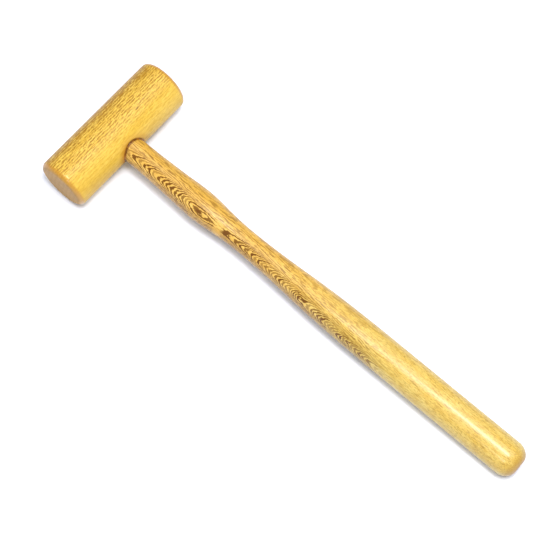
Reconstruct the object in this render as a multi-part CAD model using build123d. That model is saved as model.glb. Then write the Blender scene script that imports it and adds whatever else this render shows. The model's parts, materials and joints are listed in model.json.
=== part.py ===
from build123d import *
from math import atan2, cos, degrees, radians, sin, sqrt
import os

# A wooden carving mallet in three pieces: a round head, a turned handle whose tenon
# goes right through the head, and a wedge that spreads the tenon's split end.
# It lies on a bench, as it is put down: the head on its side, the butt on the bench.
# The row frame: +X along the handle towards the butt, +Y along the head, +Z up, with
# the origin on the bench under the middle of the mallet's box.
#
# Every piece is made in the mallet's own frame first: the head's axis is Y, the handle's
# axis is +X, and they cross at the origin. lay_down() then tips it onto the bench.

# Driving dimensions, in millimetres.
head_diameter = 38.0
head_length = 104.0
head_edge_rounding = 4.0

bore_diameter = 18.0
mouth_easing = 0.8  # rounding where the handle enters the head
flare_depth = 13.0  # the last stretch of the bore, which opens to an oval
flare_each_side = 0.85  # how far the oval opens towards each striking face

handle_reach = 350.0  # from the head's axis to the butt
neck_end = 24.0  # the handle stays as thin as the bore up to here
grip_start = 240.0
grip_diameter = 24.4
butt_rounding_length = 10.0
butt_rounding_height = 8.0

# Distance from the head's axis and diameter, at the places where the turned handle
# changes: its swelling, its waist, and the flank that rises to the grip.
handle_turnings = [
    (43.0, 18.9),
    (64.0, 20.6),
    (80.0, 21.9),
    (99.0, 18.9),
    (116.0, 17.0),
    (131.0, 17.3),
    (147.0, 18.3),
    (170.0, 21.0),
    (190.0, 22.9),
]

kerf_width = 1.6  # the saw cut before the wedge spreads it
kerf_depth = 23.0  # from the far side of the head
wedge_short_of_kerf = 3.0

# What follows from them.
head_radius = head_diameter / 2
bore_radius = bore_diameter / 2
grip_radius = grip_diameter / 2
far_side = -head_radius
beyond = 10.0  # how far cutting solids run past what they cut


def lie_angle():
    """Degrees by which the handle points down when head and butt both touch the bench."""
    rounding_start = handle_reach - butt_rounding_length
    flat_radius = grip_radius - butt_rounding_height
    angle = 0.0
    for _ in range(20):
        reach_down = sqrt(
            (butt_rounding_length * sin(angle)) ** 2
            + (butt_rounding_height * cos(angle)) ** 2
        )
        drop = head_radius - flat_radius * cos(angle) - reach_down
        angle = atan2(drop, sqrt(rounding_start**2 - drop**2))
    return degrees(angle)


def butt_reach(angle_degrees):
    """How far the tipped butt reaches along X from the head's axis."""
    angle = radians(angle_degrees)
    rounding_start = handle_reach - butt_rounding_length
    flat_radius = grip_radius - butt_rounding_height
    reach_out = sqrt(
        (butt_rounding_length * cos(angle)) ** 2
        + (butt_rounding_height * sin(angle)) ** 2
    )
    return rounding_start * cos(angle) + flat_radius * sin(angle) + reach_out


def lay_down(piece):
    """Moves a piece from the mallet's own frame to where it lies on the bench."""
    angle = lie_angle()
    middle = (butt_reach(angle) + far_side) / 2
    return Pos(-middle, 0, head_radius) * Rot(0, angle, 0) * piece


def head_cylinder():
    """The head's plain round, with its seam underneath, away from the bore."""
    return Rot(90, 0, 0) * Rot(0, 0, -90) * Cylinder(head_radius, head_length)


def bore_solid():
    """What fills the bore: round, then opening to an oval near the far side."""
    flare_start = far_side + flare_depth
    flare_slope = flare_each_side / flare_depth
    oval_half_width = bore_radius + flare_slope * (flare_depth + beyond)
    round_end = Plane.YZ.offset(flare_start) * Circle(bore_radius)
    oval_end = Plane.YZ.offset(far_side - beyond) * Ellipse(oval_half_width, bore_radius)
    round_part = extrude(round_end, amount=head_radius + beyond - flare_start)
    return round_part + loft([oval_end, round_end])


def kerf_solid(depth):
    """The saw cut after the wedge has opened it, down to a depth from the far side."""
    bottom = far_side + kerf_depth
    end = far_side + depth
    slope = flare_each_side / kerf_depth
    start = far_side - beyond
    half_at_start = kerf_width / 2 + slope * (bottom - start)
    half_at_end = kerf_width / 2 + slope * (bottom - end)
    outline = make_face(
        Polyline(
            (start, -half_at_start),
            (end, -half_at_end),
            (end, half_at_end),
            (start, half_at_start),
            close=True,
        )
    )
    return extrude(outline, amount=head_radius, both=True)


def turned_handle():
    """The handle's outside, turned about X, from the head's middle to the butt."""
    flat_radius = grip_radius - butt_rounding_height
    grip_end = handle_reach - butt_rounding_length
    turnings = [(neck_end, bore_radius)]
    turnings += [(place, diameter / 2) for place, diameter in handle_turnings]
    turnings += [(grip_start, grip_radius)]
    outline = [
        Line((0, 0), (0, bore_radius)),
        Line((0, bore_radius), (neck_end, bore_radius)),
        Spline(turnings, tangents=[(1, 0), (1, 0)]),
        Line((grip_start, grip_radius), (grip_end, grip_radius)),
        EllipticalCenterArc(
            (grip_end, flat_radius),
            butt_rounding_length,
            butt_rounding_height,
            start_angle=0,
            arc_size=90,
        ),
        Line((handle_reach, flat_radius), (handle_reach, 0)),
        Line((handle_reach, 0), (0, 0)),
    ]
    return revolve(make_face(Wire(outline)), Axis.X)


def mallet_head():
    body = head_cylinder()
    rims = body.edges().filter_by(GeomType.CIRCLE)
    body = fillet(rims, head_edge_rounding)
    body -= bore_solid()
    mouth = body.edges().filter_by(GeomType.BSPLINE).sort_by(Axis.X)[-1]
    return fillet(mouth, mouth_easing)


def handle():
    tenon = bore_solid() & head_cylinder()
    return turned_handle() + tenon - kerf_solid(kerf_depth)


def handle_wedge():
    return kerf_solid(kerf_depth - wedge_short_of_kerf) & bore_solid() & head_cylinder()


os.makedirs("parts", exist_ok=True)
for make_piece in (mallet_head, handle, handle_wedge):
    piece = lay_down(make_piece())
    export_step(piece, f"parts/{make_piece.__name__}.step")
    print(make_piece.__name__, len(piece.solids()), round(piece.volume, 1))
print("handle points down by", round(lie_angle(), 3), "degrees")
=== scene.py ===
import json
from math import asin, cos, pi, radians, sin

import bpy
from mathutils import Matrix, Vector, noise


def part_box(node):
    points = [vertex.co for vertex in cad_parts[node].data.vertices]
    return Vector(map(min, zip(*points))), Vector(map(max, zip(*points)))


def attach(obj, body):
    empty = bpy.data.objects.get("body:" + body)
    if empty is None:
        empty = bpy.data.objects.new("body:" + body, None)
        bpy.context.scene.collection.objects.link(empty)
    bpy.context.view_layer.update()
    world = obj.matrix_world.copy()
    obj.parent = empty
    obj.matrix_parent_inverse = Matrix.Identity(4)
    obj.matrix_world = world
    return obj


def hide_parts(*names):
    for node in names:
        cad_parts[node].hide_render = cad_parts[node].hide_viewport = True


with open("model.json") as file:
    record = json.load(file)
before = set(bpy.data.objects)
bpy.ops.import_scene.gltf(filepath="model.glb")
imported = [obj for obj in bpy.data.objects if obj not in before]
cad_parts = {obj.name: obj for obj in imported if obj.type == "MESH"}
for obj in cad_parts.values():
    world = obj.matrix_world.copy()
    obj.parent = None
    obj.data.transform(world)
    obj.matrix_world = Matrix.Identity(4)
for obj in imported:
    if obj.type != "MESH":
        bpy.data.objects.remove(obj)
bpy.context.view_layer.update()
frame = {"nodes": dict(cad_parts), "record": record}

# A carving mallet lying on a pale floor. Blender's lengths are in metres. The wood's figure
# and the handle's outline are worked out in millimetres, and MM turns those into metres.
MM = 0.001

# ---------------------------------------------------------------- places, from the frame

head_low, head_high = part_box("mallet_head")
head_centre = (head_low + head_high) / 2
head_radius = (head_high.x - head_low.x) / 2
mounts = {mount["name"]: mount for mount in frame["record"]["mounts"]}
handle_direction = Vector(mounts["grip"]["axis"]).normalized()
handle_tilt = asin(-handle_direction.z)
across = Vector((0, 1, 0))
above = handle_direction.cross(across)

# The handle's lengthwise dimensions in millimetres from the head's axis, as in the CAD.
neck_end = 24.0
grip_start = 240.0
handle_reach = 350.0
grip_radius = mounts["grip"]["dims"]["r_mm"]
butt_rounding_length = 10.0
butt_rounding_height = 8.0
flare_start = -6.0  # from here to the far side, the tenon widens along the head
flare_slope = 0.85 / 13.0
kerf_bottom = 4.0  # where the saw cut ends, inside the tenon
kerf_half_width = 0.8  # at its bottom, growing towards the far side
kerf_slope = 0.85 / 23.0


# ---------------------------------------------------------------- node helpers


class Graph:
    """One material's nodes. Inputs are numbers, colours or other nodes' sockets."""

    def __init__(self, name):
        self.material = bpy.data.materials.new(name)
        self.material.use_nodes = True
        self.tree = self.material.node_tree
        self.tree.nodes.clear()

    def add(self, kind, settings=None, **inputs):
        node = self.tree.nodes.new(kind)
        for name, value in (settings or {}).items():
            setattr(node, name, value)
        for name, value in inputs.items():
            self.plug(node.inputs[name.replace("_", " ")], value)
        return node

    def plug(self, socket, value):
        if isinstance(value, bpy.types.NodeSocket):
            self.tree.links.new(value, socket)
        else:
            socket.default_value = value

    def math(self, operation, first, second=0.0, third=0.0, clamp=False):
        node = self.add("ShaderNodeMath", {"operation": operation, "use_clamp": clamp})
        for socket, value in zip(node.inputs, (first, second, third)):
            self.plug(socket, value)
        return node.outputs[0]

    def total(self, *terms):
        result = terms[0]
        for term in terms[1:]:
            result = self.math("ADD", result, term)
        return result

    def product(self, *factors):
        result = factors[0]
        for factor in factors[1:]:
            result = self.math("MULTIPLY", result, factor)
        return result

    def ease(self, value, start, end, low=0.0, high=1.0):
        """Goes smoothly from low, where value is start, to high, where it is end."""
        node = self.add("ShaderNodeMapRange", {"interpolation_type": "SMOOTHSTEP"})
        settings = (value, start, end, low, high)
        for socket, setting in zip(node.inputs, settings):
            self.plug(socket, setting)
        return node.outputs[0]

    def mix(self, share, first, second):
        node = self.add("ShaderNodeMix", {"data_type": "RGBA"})
        self.plug(node.inputs[0], share)
        self.plug(node.inputs[6], first)
        self.plug(node.inputs[7], second)
        return node.outputs[2]

    def split(self, vector):
        return self.add("ShaderNodeSeparateXYZ", Vector=vector).outputs

    def join(self, x, y, z):
        return self.add("ShaderNodeCombineXYZ", X=x, Y=y, Z=z).outputs[0]

    def inverse(self, value):
        return self.math("SUBTRACT", 1.0, value)

    def most(self, *terms):
        result = terms[0]
        for term in terms[1:]:
            result = self.math("MAXIMUM", result, term)
        return result

    def spread(self, noise_value, width):
        """A noise as an offset of up to half the width either way."""
        return self.math("MULTIPLY_ADD", noise_value, width, -width / 2)

    def hypotenuse(self, first, second):
        squares = [self.math("POWER", side, 2.0) for side in (first, second)]
        return self.math("SQRT", self.total(*squares))

    def length(self, x, y, z):
        node = self.add("ShaderNodeVectorMath", {"operation": "LENGTH"})
        self.plug(node.inputs[0], self.join(x, y, z))
        return node.outputs["Value"]

    def noise(self, vector, detail=2.0):
        node = self.add("ShaderNodeTexNoise", Vector=vector, Scale=1.0, Detail=detail)
        return node.outputs[0]

    def stretched(self, x, y, z, size_x, size_y, size_z, shift=0.0):
        """A coordinate whose features come out as long as the sizes, along each axis."""
        return self.join(
            self.math("MULTIPLY_ADD", x, 1 / size_x, shift),
            self.math("MULTIPLY_ADD", y, 1 / size_y, shift),
            self.math("MULTIPLY_ADD", z, 1 / size_z, shift),
        )

    def wood_axes(self, centre, tilt=0.0):
        """Place in millimetres from a centre, along axes tipped down by tilt."""
        place = self.add("ShaderNodeTexCoord").outputs["Object"]
        mapping = self.add("ShaderNodeMapping", {"vector_type": "TEXTURE"}, Vector=place)
        mapping.inputs["Location"].default_value = centre
        mapping.inputs["Rotation"].default_value = (0, tilt, 0)
        mapping.inputs["Scale"].default_value = (MM, MM, MM)
        return self.split(mapping.outputs[0])

    def facing(self, direction):
        """How squarely the surface faces along a direction, either way, from 0 to 1."""
        normal = self.add("ShaderNodeTexCoord").outputs["Normal"]
        node = self.add("ShaderNodeVectorMath", {"operation": "DOT_PRODUCT"})
        self.plug(node.inputs[0], normal)
        self.plug(node.inputs[1], direction)
        return self.math("ABSOLUTE", node.outputs["Value"])

    def bump(self, height, distance, strength=1.0, under=None):
        node = self.add("ShaderNodeBump", Height=height, Strength=strength)
        node.inputs["Distance"].default_value = distance
        if under is not None:
            self.plug(node.inputs["Normal"], under)
        return node.outputs[0]

    def finish(self, colour, roughness, normal, coat, coat_roughness):
        shader = self.add("ShaderNodeBsdfPrincipled")
        self.plug(shader.inputs["Base Color"], colour)
        self.plug(shader.inputs["Roughness"], roughness)
        self.plug(shader.inputs["Normal"], normal)
        self.plug(shader.inputs["Coat Weight"], coat)
        shader.inputs["Coat Roughness"].default_value = coat_roughness
        shader.inputs["Coat IOR"].default_value = 1.5
        shader.inputs["Specular IOR Level"].default_value = 0.12
        output = self.add("ShaderNodeOutputMaterial")
        self.tree.links.new(shader.outputs[0], output.inputs["Surface"])
        return self.material


def srgb(red, green, blue):
    """A colour given as on a screen, from 0 to 255, as the shader's linear colour."""
    linear = []
    for level in (red, green, blue):
        share = level / 255
        if share <= 0.04045:
            linear.append(share / 12.92)
        else:
            linear.append(((share + 0.055) / 1.055) ** 2.4)
    return (*linear, 1.0)


# ---------------------------------------------------------------- the turned outline


outline_spacing = 3.5  # the least distance between the outline's points, in millimetres


def cad_outline():
    """Points (distance, radius) in millimetres of the CAD's turned surface, well apart."""
    samples = []
    for vertex in frame["nodes"]["handle"].data.vertices:
        offset = vertex.co - head_centre
        along = offset.dot(handle_direction)
        radius = (offset - handle_direction * along).length
        samples.append((along / MM, radius / MM))
    samples.sort()
    neck = max(radius for place, radius in samples if 0 < place < neck_end)
    kept = [(neck_end, neck)]
    for place, radius in samples:
        if place - kept[-1][0] > outline_spacing and place < grip_start - 2.0:
            kept.append((place, radius))
    kept.append((grip_start, grip_radius))
    return kept


outline = cad_outline()
neck_radius = outline[0][1]


def outline_slope(index):
    """The outline's slope at one of its points, level at both of its ends."""
    if index in (0, len(outline) - 1):
        return 0.0
    (a, ra), (b, rb), (c, rc) = outline[index - 1 : index + 2]
    before, after = (rb - ra) / (b - a), (rc - rb) / (c - b)
    return (before * (c - b) + after * (b - a)) / (c - a)


def handle_radius(place):
    """The handle's radius in millimetres at a distance from the head's axis."""
    if place <= neck_end:
        return neck_radius
    if place >= grip_start:
        return grip_radius
    index = max(i for i, point in enumerate(outline[:-1]) if point[0] <= place)
    (start, first), (end, last) = outline[index : index + 2]
    span = end - start
    t = (place - start) / span
    return (
        (2 * t**3 - 3 * t**2 + 1) * first
        + (t**3 - 2 * t**2 + t) * span * outline_slope(index)
        + (3 * t**2 - 2 * t**3) * last
        + (t**3 - t**2) * span * outline_slope(index + 1)
    )


# ---------------------------------------------------------------- the head's wood

# Rings are nearly flat sheets. They lie square to this angle from straight up.
head_ring_angle = radians(-75)
head_row_spacing = 1.75  # millimetres between rows of flecks
head_end_ring_spacing = 3.4  # and between rings on the striking faces
head_slant = 0.17  # how far the flecks lean across the head, per length along it

glue_and_shade_brown = srgb(104, 58, 14)  # old glue and painted crevice shade, on both sides of the joint
glue_and_shade_cover = 0.85  # how much of the wood's own colour it hides


def head_depth(g, x, y, z):
    """How far across the head's rings a point lies, in millimetres."""
    wander = g.noise(g.stretched(x, y, z, 9, 30, 9), detail=1.0)
    jitter = g.noise(g.stretched(x, y, z, 1.5, 3.2, 1.5, 7.3), detail=1.0)
    return g.total(
        g.product(x, sin(head_ring_angle)),
        g.product(z, cos(head_ring_angle)),
        g.product(y, 0.02),
        g.spread(wander, 2.4),
        g.spread(jitter, 1.1),
    )


def head_flecks(g, slant, y, z, depth):
    """Dashes in rows along the rings, and finer loose ones between them."""
    ring = g.math("FRACT", g.product(depth, 1 / head_row_spacing))
    row = g.ease(g.math("PINGPONG", ring, 0.5), 0.08, 0.34)
    dash_noise = g.noise(g.stretched(slant, y, z, 0.75, 3.4, 0.75), detail=2.0)
    dashes = g.product(row, g.ease(dash_noise, 0.36, 0.56))
    loose_noise = g.noise(g.stretched(slant, y, z, 0.55, 2.4, 0.55, 31.7), detail=1.0)
    loose = g.product(g.ease(loose_noise, 0.46, 0.64), 0.5)

    # They fade towards the side where the wood shows its smooth face.
    flecked = g.ease(depth, -15.0, 5.0, 0.15, 1.0)
    return g.product(g.most(dashes, loose), flecked)


def head_blotches(g, slant, y, z, depth):
    """Patches high on the head's far side, where the rings graze the surface."""
    blotch_noise = g.noise(g.stretched(slant, y, z, 1.3, 3.2, 1.3, 17.0), detail=2.0)
    grazed = g.product(g.ease(depth, 11.0, 13.6), g.ease(z, 3.0, 11.0))
    return g.product(g.ease(blotch_noise, 0.44, 0.56), grazed)


def head_side(g, x, y, z, depth, silk, slant, flecks):
    """The colour of the head's long side, without its stains."""
    light_wood, deep_wood = srgb(217, 184, 84), srgb(208, 171, 65)
    silk_brown, fleck_brown, blotch_brown = srgb(184, 137, 40), srgb(126, 80, 14), srgb(150, 104, 10)
    broad = g.noise(g.stretched(x, y, z, 7, 60, 7, 3.1), detail=2.0)
    colour = g.mix(g.ease(broad, 0.3, 0.7), light_wood, deep_wood)
    colour = g.mix(g.ease(silk, 0.35, 0.7, 0.0, 0.5), colour, silk_brown)
    colour = g.mix(g.product(flecks, 0.8), colour, fleck_brown)
    blotches = head_blotches(g, slant, y, z, depth)
    return g.mix(g.product(blotches, 0.8), colour, blotch_brown)


def head_marks_and_shade(g, colour, x, y, z):
    """A single slanted fleck, painted shade in orange around the handle, deeper on its -Y side, and
    old glue with painted crevice shade at its mouth.
    """
    spot_x, spot_y, spot_lean, spot_squash = 6.2, 26.4, 1.2, 0.4
    spot_brown, joint_shade_orange = srgb(116, 78, 24), srgb(172, 108, 28)
    leaning = g.math("SUBTRACT", g.math("MULTIPLY_ADD", x, spot_lean, y), spot_y)
    from_spot = g.length(g.math("SUBTRACT", x, spot_x), g.product(leaning, spot_squash), 0.0)
    spot = g.product(g.ease(from_spot, 0.3, 0.75, 1.0, 0.0), g.ease(z, 0.0, 5.0))
    colour = g.mix(g.product(spot, 0.8), colour, spot_brown)

    # Painted shade: the head darkens to orange around the handle, more on its -Y side, where the
    # handle shades it.
    from_handle = g.hypotenuse(y, z)
    on_handle_side = g.ease(x, 8.0, 12.0)
    joint_shade = g.product(g.ease(from_handle, 9.0, 15.0, 1.0, 0.0), on_handle_side)
    joint_shade = g.product(joint_shade, g.ease(y, 4.0, -9.0, 0.35, 0.8))
    colour = g.mix(joint_shade, colour, joint_shade_orange)
    # Old glue in the mouth, darkened further as painted crevice shade.
    mouth = g.product(g.ease(from_handle, 9.2, 10.6, 1.0, 0.0), on_handle_side)
    return g.mix(g.product(mouth, glue_and_shade_cover), colour, glue_and_shade_brown)


def head_end_grain(g, x, y, z, depth):
    """The colour of the striking faces: rings, patches and pores seen end on."""
    dark_ring, light_ring = srgb(170, 127, 52), srgb(178, 136, 62)
    patch_brown, pore_brown = srgb(152, 112, 46), srgb(112, 76, 28)
    ring = g.math("FRACT", g.product(depth, 1 / head_end_ring_spacing))
    pores = g.noise(g.stretched(x, y, z, 0.4, 4.0, 0.4, 5.0), detail=2.0)
    patches = g.noise(g.stretched(x, y, z, 7.0, 7.0, 7.0, 2.0), detail=2.0)
    colour = g.mix(g.ease(ring, 0.0, 0.8), dark_ring, light_ring)
    colour = g.mix(g.ease(patches, 0.35, 0.65, 0.0, 0.35), colour, patch_brown)
    return g.mix(g.ease(pores, 0.5, 0.75, 0.0, 0.4), colour, pore_brown)


def head_wood():
    """Straight-grained wood along Y, with rows of short dark flecks along its rings."""
    g = Graph("head_wood")
    x, y, z = g.wood_axes(head_centre)
    slant = g.math("MULTIPLY_ADD", y, head_slant, x)
    depth = head_depth(g, x, y, z)
    flecks = head_flecks(g, slant, y, z, depth)
    silk = g.noise(g.stretched(slant, y, z, 0.7, 5, 0.7, 11.0), detail=3.0)
    colour = head_side(g, x, y, z, depth, silk, slant, flecks)
    colour = head_marks_and_shade(g, colour, x, y, z)

    # The rounded rims are a deeper orange and glossier. The striking faces are duller.
    rim_orange = srgb(176, 124, 42)
    facing = g.facing((0, 1, 0))
    rim = g.product(g.ease(facing, 0.1, 0.5), 0.75)
    colour = g.mix(rim, colour, rim_orange)
    end = g.ease(facing, 0.72, 0.97)
    colour = g.mix(end, colour, head_end_grain(g, x, y, z, depth))
    coat = g.product(g.inverse(g.product(end, 0.8)), g.math("MULTIPLY_ADD", rim, 0.7, 0.24))

    grain = g.bump(silk, 0.05 * MM, 0.5)
    pores = g.bump(g.product(flecks, -1.0), 0.06 * MM, 0.6, under=grain)
    roughness = g.ease(silk, 0.2, 0.8, 0.45, 0.6)
    return g.finish(colour, roughness, pores, coat, coat_roughness=0.18)


# ---------------------------------------------------------------- the handle's wood

# How many rings have crossed the handle's top by some distances from the head's axis,
# in millimetres.
ring_marks = [
    (21, 0), (64, 10), (79, 14.25), (147, 23), (182, 34), (198, 39), (227, 49), (345, 73),
]
ring_slope = 0.07  # how fast the rings leave the handle's axis, per length
side_line_spacing = 1.2  # millimetres, beside the arcs
eye_middle = 84.0  # where the rings close into an oval, from the head's axis
past_eye = 101.0  # the pale gap after it
swirl_middle = 172.0  # where the rings swerve once more


def ring_count(g, depth):
    """Turns depth into a count of rings, so that the rings fall as ring_marks says."""
    depths = [handle_radius(place) + ring_slope * place for place, count in ring_marks]
    first, span, most = depths[0], depths[-1] - depths[0], ring_marks[-1][1]
    curve = g.add("ShaderNodeFloatCurve")
    g.plug(curve.inputs["Value"], g.product(g.math("SUBTRACT", depth, first), 1 / span))
    points = curve.mapping.curves[0].points
    for ring_depth, (place, count) in zip(depths[1:-1], ring_marks[1:-1]):
        points.new((ring_depth - first) / span, count / most)
    for point in points:
        point.handle_type = "VECTOR"
    curve.mapping.use_clip = False
    curve.mapping.extend = "EXTRAPOLATED"
    curve.mapping.update()
    return g.product(curve.outputs[0], float(most))


def ring_sides(g, s, y, w):
    """Place towards the side that the rings lie flat against, and place beside it."""
    # That side turns slowly towards -Y along the handle.
    bend = g.math("POWER", g.math("SUBTRACT", s, 30.0), 2.0)
    angle = g.math("MULTIPLY_ADD", bend, radians(0.00075), radians(37))
    side, up = g.math("SINE", angle), g.math("COSINE", angle)
    toward = g.math("SUBTRACT", g.product(w, up), g.product(y, side))
    beside = g.total(g.product(y, up), g.product(w, side))
    return toward, beside


def handle_depth(g, s, y, w, toward, wander):
    """How far across the handle's rings a point lies, in millimetres."""
    jitter = g.noise(g.stretched(s, y, w, 2.0, 1.0, 1.0, 4.0), detail=1.0)
    from_swirl = g.product(g.math("SUBTRACT", s, swirl_middle), 1 / 4.0)
    swirl = g.math("EXPONENT", g.product(g.math("POWER", from_swirl, 2.0), -1.0))
    return g.total(
        toward,
        g.product(s, ring_slope),
        g.product(swirl, 0.5),
        g.spread(wander, 0.6),
        g.spread(jitter, 0.22),
    )


def ring_lines(g, s, y, w, rings, ring, toward):
    """The dark part of each ring, of uneven width and strength."""
    strength = g.add("ShaderNodeTexWhiteNoise", {"noise_dimensions": "1D"})
    g.plug(strength.inputs["W"], g.math("FLOOR", rings))
    width_noise = g.noise(g.stretched(s, y, w, 2.4, 1.6, 1.6, 8.0), detail=1.0)
    edge = g.ease(width_noise, 0.3, 0.7, 0.06, 0.29)
    edge = g.product(edge, g.ease(s, 100.0, 130.0, 1.0, 0.8))
    line = g.math("MULTIPLY", g.math("SUBTRACT", ring, edge), 9.0, clamp=True)
    line = g.product(line, g.ease(strength.outputs["Value"], 0.0, 0.7, 0.55, 1.0))
    from_gap = g.math("ABSOLUTE", g.math("SUBTRACT", s, past_eye))
    gap = g.product(g.ease(from_gap, 1.5, 5.0, 0.7, 0.0), g.ease(toward, 3.0, 7.0))
    return g.product(line, g.inverse(gap))


def side_lines(g, s, y, w, beside):
    """The broken lengthwise lines beside the arcs."""
    dash_noise = g.noise(g.stretched(s, y, w, 7.0, 0.8, 0.8, 2.0), detail=1.5)
    waver = g.noise(g.stretched(s, y, w, 14.0, 3.0, 3.0, 15.0), detail=2.0)
    across_lines = g.product(beside, 1 / side_line_spacing)
    count = g.total(across_lines, g.product(waver, 3.0), g.product(s, 0.02))
    line = g.ease(g.math("PINGPONG", count, 0.5), 0.18, 0.34)
    line = g.product(line, g.ease(dash_noise, 0.34, 0.52), g.ease(beside, 2.0, 4.5))
    return g.product(line, 0.7)


def eye_spot(g, s, beside, toward, wander):
    """A dark spot in the middle of the rings' oval eye."""
    from_middle = g.product(g.math("SUBTRACT", s, eye_middle), 0.5)
    from_spot = g.length(from_middle, beside, g.product(wander, 0.8))
    return g.product(g.ease(from_spot, 1.0, 1.7, 1.0, 0.0), g.ease(toward, 0.0, 4.0))


def handle_marks(g, s, y, w, beside):
    """Loose short dashes, long streaks on the grip, and a few specks."""
    loose_noise = g.noise(g.stretched(s, y, w, 1.8, 0.45, 0.45, 12.0), detail=1.0)
    loose = g.product(g.ease(loose_noise, 0.5, 0.68), g.ease(s, 20.0, 260.0, 0.35, 0.45))
    loose = g.product(loose, g.ease(beside, 0.5, 4.0, 0.3, 1.0))
    oblique = g.math("MULTIPLY_ADD", s, 0.1, y)
    streak_noise = g.noise(g.stretched(s, oblique, w, 8.0, 0.5, 0.5, 22.0), detail=2.0)
    streaks = g.product(g.ease(streak_noise, 0.54, 0.7), g.ease(s, 225.0, 250.0, 0.0, 0.55))
    speck_noise = g.noise(g.stretched(s, y, w, 1.6, 1.1, 1.1, 41.0), detail=1.0)
    return g.most(loose, streaks, g.ease(speck_noise, 0.74, 0.79))


def handle_side(g, s, y, w, beside, silk, dark):
    """The colour of the handle's long side: orange at the neck, paler at the grip."""
    neck_light, grip_light = srgb(226, 186, 100), srgb(213, 192, 112)
    neck_deep, grip_deep = srgb(208, 163, 74), srgb(204, 177, 88)
    side_orange, silk_brown, line_brown = srgb(190, 145, 48), srgb(178, 134, 46), srgb(94, 52, 4)
    broad = g.noise(g.stretched(s, y, w, 30, 6, 6, 9.0), detail=3.0)
    pale = g.ease(s, 120.0, 250.0)
    light_wood = g.mix(pale, neck_light, grip_light)
    deep_wood = g.mix(pale, neck_deep, grip_deep)
    colour = g.mix(g.ease(broad, 0.3, 0.7), light_wood, deep_wood)
    orange = g.product(g.ease(beside, 2.0, 10.0, 0.0, 0.7), g.ease(s, 20.0, 260.0, 1.0, 0.35))
    colour = g.mix(orange, colour, side_orange)
    colour = g.mix(g.ease(silk, 0.35, 0.7, 0.0, 0.5), colour, silk_brown)
    return g.mix(g.product(dark, 0.95), colour, line_brown)


def handle_ends(g, colour, s, y, w, ring):
    """End grain at the butt and on the tenon, and old glue with painted crevice shade where the neck
    leaves the head.
    """
    butt_brown, pore_brown = srgb(166, 126, 52), srgb(110, 72, 34)
    light_ring, dark_ring = srgb(190, 142, 74), srgb(150, 104, 50)
    facing = g.facing(tuple(handle_direction))
    colour = g.mix(g.ease(facing, 0.25, 0.8, 0.0, 0.7), colour, butt_brown)
    end = g.ease(facing, 0.8, 0.98)
    pores = g.noise(g.stretched(s, y, w, 4.0, 0.35, 0.35, 5.0), detail=2.0)
    end_colour = g.mix(g.product(ring, 2.0), light_ring, dark_ring)
    end_colour = g.mix(g.ease(pores, 0.5, 0.75, 0.0, 0.5), end_colour, pore_brown)
    colour = g.mix(g.product(end, 0.85), colour, end_colour)
    # Old glue where the neck meets the head, darkened further as painted crevice shade.
    head_x, _, head_z = g.wood_axes(head_centre)
    from_head = g.hypotenuse(head_x, head_z)
    crevice_glue_and_shade = g.product(g.ease(from_head, 18.4, 20.4, 1.0, 0.0), g.ease(s, 5.0, 8.0))
    return g.mix(g.product(crevice_glue_and_shade, glue_and_shade_cover), colour, glue_and_shade_brown)


def handle_wood():
    """Wood along the handle whose rings cross its swellings in pointed arcs."""
    g = Graph("handle_wood")
    s, y, w = g.wood_axes(head_centre, handle_tilt)
    toward, beside = ring_sides(g, s, y, w)
    wander = g.noise(g.stretched(s, y, w, 9, 5, 5), detail=1.0)
    rings = ring_count(g, handle_depth(g, s, y, w, toward, wander))
    ring = g.math("PINGPONG", rings, 0.5)

    # The arcs give way to lengthwise lines beside them, and all figure fades at the grip.
    arcs = ring_lines(g, s, y, w, rings, ring, toward)
    arcs = g.product(arcs, g.inverse(g.ease(beside, 3.0, 6.5)))
    lines = g.most(arcs, side_lines(g, s, y, w, beside))
    figured = g.ease(s, 222.0, 262.0, 1.0, 0.1)
    figure = g.product(lines, g.ease(beside, 6.0, 13.0, 1.0, 0.5), figured)
    dark = g.most(
        figure,
        eye_spot(g, s, beside, toward, wander),
        handle_marks(g, s, y, w, beside),
    )

    silk = g.noise(g.stretched(s, y, w, 5, 0.7, 0.7, 1.0), detail=3.0)
    colour = handle_side(g, s, y, w, beside, silk, dark)
    colour = handle_ends(g, colour, s, y, w, ring)
    grain = g.bump(silk, 0.02 * MM, 0.5)
    pores = g.bump(g.product(dark, -1.0), 0.03 * MM, 0.5, under=grain)
    roughness = g.ease(silk, 0.2, 0.8, 0.4, 0.52)
    return g.finish(colour, roughness, pores, coat=0.45, coat_roughness=0.24)


# ---------------------------------------------------------------- wedge and glue


def wedge_wood():
    """Darker, denser wood, whose end shows between the halves of the tenon."""
    dark_wood, light_wood, pore_brown = srgb(112, 66, 34), srgb(142, 92, 52), srgb(66, 36, 18)
    g = Graph("wedge_wood")
    s, y, w = g.wood_axes(head_centre, handle_tilt)
    rings = g.noise(g.stretched(s, y, w, 9, 0.7, 5.0), detail=2.0)
    pores = g.noise(g.stretched(s, y, w, 5, 0.25, 0.25, 3.0), detail=2.0)
    colour = g.mix(g.ease(rings, 0.3, 0.7), dark_wood, light_wood)
    colour = g.mix(g.ease(pores, 0.55, 0.72, 0.0, 0.7), colour, pore_brown)
    normal = g.bump(pores, 0.05 * MM, 0.5)
    roughness = g.ease(rings, 0.3, 0.7, 0.4, 0.52)
    return g.finish(colour, roughness, normal, coat=0.45, coat_roughness=0.25)


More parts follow.
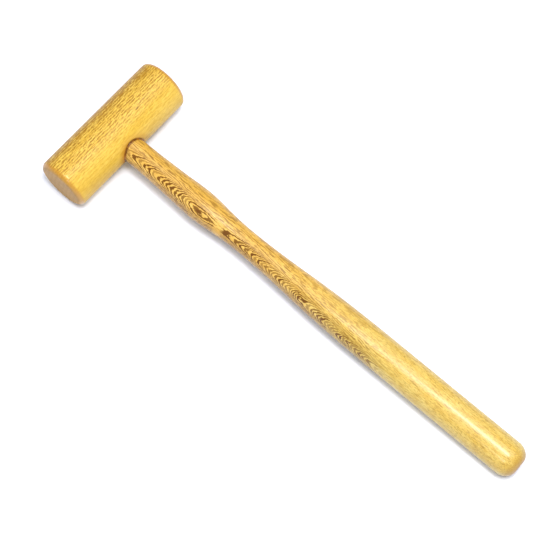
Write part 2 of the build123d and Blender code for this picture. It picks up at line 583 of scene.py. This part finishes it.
def dried_glue():
    """Dark amber glue with a gloss, clearer where it is thin."""
    dark_amber, amber, clear_speck = srgb(92, 52, 8), srgb(146, 92, 22), srgb(190, 142, 60)
    g = Graph("dried_glue")
    x, y, z = g.wood_axes(head_centre)
    clouds = g.noise(g.stretched(x, y, z, 2.2, 2.2, 2.2), detail=2.0)
    specks = g.noise(g.stretched(x, y, z, 0.5, 0.5, 0.5, 6.0), detail=2.0)
    colour = g.mix(g.ease(clouds, 0.3, 0.7), dark_amber, amber)
    colour = g.mix(g.ease(specks, 0.62, 0.75, 0.0, 0.4), colour, clear_speck)
    normal = g.bump(clouds, 0.2 * MM, 0.6)
    roughness = g.ease(specks, 0.3, 0.7, 0.25, 0.4)
    return g.finish(colour, roughness, normal, coat=0.4, coat_roughness=0.14)


# ---------------------------------------------------------------- pieces


def handle_point(place, y, rise):
    """A point from millimetres along the handle, along the head and above its axis."""
    return head_centre + (handle_direction * place + across * y + above * rise) * MM


def turned_rings(angles):
    """The handle's rings of points, from the tenon's end on the head's far side to the butt."""
    rings = []
    cap_steps, tenon_steps, grip_steps, butt_steps = 6, 12, 12, 12
    tenon_end, neck_spacing = neck_end - 10.0, 2.0

    def far_surface(rise):
        return -(((head_radius / MM) ** 2 - rise**2) ** 0.5)

    def tenon_ring(share_along, share_out):
        ring = []
        for angle in angles:
            rise = neck_radius * sin(angle) * share_out
            start = far_surface(rise)
            place = start + (tenon_end - start) * share_along
            half = neck_radius + flare_slope * max(0.0, flare_start - place)
            ring.append(handle_point(place, half * cos(angle) * share_out, rise))
        return ring

    def round_ring(place, radius):
        return [handle_point(place, radius * cos(a), radius * sin(a)) for a in angles]

    for step in range(1, cap_steps):
        rings.append(tenon_ring(0.0, step / cap_steps))
    for step in range(tenon_steps + 1):
        rings.append(tenon_ring(step / tenon_steps, 1.0))
    place = tenon_end + neck_spacing
    while place < grip_start:
        rings.append(round_ring(place, handle_radius(place)))
        place += neck_spacing
    grip_end = handle_reach - butt_rounding_length
    for step in range(grip_steps + 1):
        share = step / grip_steps
        rings.append(round_ring(grip_start + (grip_end - grip_start) * share, grip_radius))
    flat_radius = grip_radius - butt_rounding_height
    for step in range(1, butt_steps + 1):
        turn = pi / 2 * step / butt_steps
        radius = flat_radius + butt_rounding_height * cos(turn)
        rings.append(round_ring(grip_end + butt_rounding_length * sin(turn), radius))
    for step in (2, 1):
        rings.append(round_ring(handle_reach, flat_radius * step / 3))
    return rings


sharp_edge = radians(35)  # edges that turn by more than this stay crisp


def new_piece(name, vertices, faces, material):
    """Links a new mesh object to the scene, in metres, with one material."""
    mesh = bpy.data.meshes.new(name)
    mesh.from_pydata(vertices, [], faces)
    mesh.materials.append(material)
    piece = bpy.data.objects.new(name, mesh)
    bpy.context.scene.collection.objects.link(piece)
    return piece


def kerf_cutter():
    """A block that is the saw cut in the tenon, as the wedge has opened it."""
    corners = []
    beyond, tall = 5.0, 15.0  # millimetres, past the tenon's end and to either side of its axis
    for place in (-head_radius / MM - beyond, kerf_bottom):
        half = kerf_half_width + kerf_slope * (kerf_bottom - place)
        for y, rise in ((-half, -tall), (half, -tall), (half, tall), (-half, tall)):
            corners.append(handle_point(place, y, rise))
    faces = [(3, 2, 1, 0), (4, 5, 6, 7)]
    faces += [(i, (i + 1) % 4, (i + 1) % 4 + 4, i + 4) for i in range(4)]
    return new_piece("kerf_cutter", corners, faces, None)


def uncut_handle():
    """The handle as one finely turned mesh, closed at both ends."""
    sides = 72
    angles = [2 * pi * side / sides for side in range(sides)]
    rings = turned_rings(angles)
    vertices = [point for ring in rings for point in ring]
    faces = []
    for ring in range(len(rings) - 1):
        for side in range(sides):
            here, beside = ring * sides + side, ring * sides + (side + 1) % sides
            faces.append((here, beside, beside + sides, here + sides))
    far_middle, butt_middle = len(vertices), len(vertices) + 1
    vertices += [handle_point(-head_radius / MM, 0, 0), handle_point(handle_reach, 0, 0)]
    last = (len(rings) - 1) * sides
    for side in range(sides):
        beside = (side + 1) % sides
        faces.append((beside, side, far_middle))
        faces.append((last + side, last + beside, butt_middle))
    return new_piece("handle_turned", vertices, faces, handle_wood())


def turned_handle():
    """The turned handle, with the wedge's saw cut in its tenon, in place of the CAD's."""
    piece = uncut_handle()
    cutter = kerf_cutter()
    cut = piece.modifiers.new("kerf", "BOOLEAN")
    cut.object = cutter
    cut.solver = "EXACT"
    shown = piece.evaluated_get(bpy.context.evaluated_depsgraph_get())
    plain = piece.data
    piece.data = bpy.data.meshes.new_from_object(shown)
    piece.modifiers.clear()
    bpy.data.meshes.remove(plain)
    bpy.data.objects.remove(cutter)
    piece.data.shade_smooth()
    piece.data.set_sharp_from_angle(angle=sharp_edge)
    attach(piece, "root")
    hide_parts("handle")


bead_size = 0.52  # millimetres, from the middle of the bead's section to its surface
bead_lean = -0.12  # added towards +Y, so that the bead is thicker on the near side
bead_unevenness = 0.35


def bead_ring(turn, steps_across):
    """The points of the bead's round section at one place around the neck."""
    outward = across * cos(turn) + above * sin(turn)
    swell = noise.noise(outward * 2.5) + 0.6 * noise.noise(outward * 7.0 + across * 9)
    thickness = (bead_size + bead_lean * outward.y + bead_unevenness * swell) * MM
    corner_radius = (neck_radius + 0.15) * MM
    rise = corner_radius * sin(turn)
    reach = (head_radius**2 - rise**2) ** 0.5 + 0.05 * MM
    middle = head_centre + handle_direction * reach + outward * corner_radius
    ring = []
    for step in range(steps_across):
        around = 2 * pi * step / steps_across
        offset = handle_direction * cos(around) + outward * sin(around)
        ring.append(middle + offset * thickness)
    return ring


def glue_bead():
    """The uneven bead of glue in the corner where the neck comes out of the head."""
    steps_around, steps_across = 120, 10
    vertices, faces = [], []
    for step in range(steps_around):
        vertices += bead_ring(2 * pi * step / steps_around, steps_across)
        for turn_step in range(steps_across):
            here = step * steps_across + turn_step
            beside = step * steps_across + (turn_step + 1) % steps_across
            ahead = (here + steps_across) % (steps_around * steps_across)
            ahead_beside = (beside + steps_across) % (steps_around * steps_across)
            faces.append((here, beside, ahead_beside, ahead))
    bead = new_piece("glue_bead", vertices, faces, dried_glue())
    bead.data.shade_smooth()
    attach(bead, "root")


def dress(node, material):
    """Gives a CAD node a finished material."""
    slots = frame["nodes"][node].data.materials
    slots.clear()
    slots.append(material)


dress("mallet_head", head_wood())
dress("handle_wedge", wedge_wood())
turned_handle()
glue_bead()


# ---------------------------------------------------------------- floor, light, camera


def make_floor():
    """A wide sheet of pale paper at the height where the mallet lies."""
    mesh = bpy.data.meshes.new("floor")
    half = 6.0
    corners = [(-half, -half, 0), (half, -half, 0), (half, half, 0), (-half, half, 0)]
    mesh.from_pydata(corners, [], [(0, 1, 2, 3)])
    floor = bpy.data.objects.new("floor", mesh)
    bpy.context.scene.collection.objects.link(floor)
    g = Graph("floor_paper")
    x, y, z = g.wood_axes((0, 0, 0))
    tooth = g.noise(g.stretched(x, y, z, 2.0, 2.0, 2.0), detail=3.0)
    normal = g.bump(tooth, 0.02 * MM, 0.2)
    colour = g.mix(tooth, srgb(225, 228, 238), srgb(231, 234, 244))
    paper = g.finish(colour, 0.9, normal, coat=0.0, coat_roughness=0.5)
    mesh.materials.append(paper)


def soft_light(name, place, width, height, power, turn=0.0):
    """An area light that faces the row's origin, turned about its own middle."""
    data = bpy.data.lights.new(name, "AREA")
    data.shape = "RECTANGLE"
    data.size = width
    data.size_y = height
    data.energy = power
    light = bpy.data.objects.new(name, data)
    bpy.context.scene.collection.objects.link(light)
    side = Vector((cos(turn), sin(turn), 0.0))
    back = place.normalized()
    upward = back.cross(side).normalized()
    side = upward.cross(back)
    aim = Matrix((side, upward, back)).transposed().to_4x4()
    light.matrix_world = Matrix.Translation(place) @ aim


def light_the_studio():
    """Even pale surroundings, two large soft boxes, and small lamps for the highlights."""
    world = bpy.data.worlds.new("studio")
    world.use_nodes = True
    background = world.node_tree.nodes["Background"]
    background.inputs["Color"].default_value = (0.92, 0.94, 1.0, 1.0)
    background.inputs["Strength"].default_value = 0.26
    bpy.context.scene.world = world

    # Each light's name, its place, its width and height in metres, and its watts.
    along_grip = radians(49)
    soft_light("side_box", Vector((0.28, 0.26, 0.92)) * 1.8, 1.3, 1.3, 16.5)
    soft_light("top_box", Vector((-0.33, 0.1, 0.94)) * 2.2, 2.0, 2.0, 17.0)
    soft_light("overhead_strip", Vector((0.03, -0.2, 1.3)), 0.7, 0.36, 8.0, turn=along_grip)
    soft_light("rim_lamp", Vector((0.22, -0.70, 0.65)) * 1.3, 0.12, 0.12, 2.6)
    soft_light("overhead_lamp", Vector((0.2, -0.02, 1.3)), 0.25, 0.36, 8.0, turn=along_grip)


def place_camera():
    """Looks down at the mallet from its near side, at about 70 degrees to the floor."""
    azimuth, elevation, roll = radians(41.65), radians(69.75), radians(-0.66)
    target = Vector((-0.0200, -0.0003, 0.0))
    distance, lens_mm, sensor_mm = 1.0044, 98.08, 36.0
    level = cos(elevation)
    back = Vector((sin(azimuth) * level, -cos(azimuth) * level, sin(elevation)))
    right = Vector((cos(azimuth), sin(azimuth), 0.0))
    up = back.cross(right)
    side = right * cos(roll) + up * sin(roll)
    upward = up * cos(roll) - right * sin(roll)
    data = bpy.data.cameras.new("camera")
    data.sensor_width = sensor_mm
    data.lens = lens_mm
    camera = bpy.data.objects.new("camera", data)
    bpy.context.scene.collection.objects.link(camera)
    aim = Matrix((side, upward, back)).transposed().to_4x4()
    camera.matrix_world = Matrix.Translation(target + back * distance) @ aim
    bpy.context.scene.camera = camera


make_floor()
light_the_studio()
place_camera()
bpy.context.scene.view_settings.view_transform = "Standard"
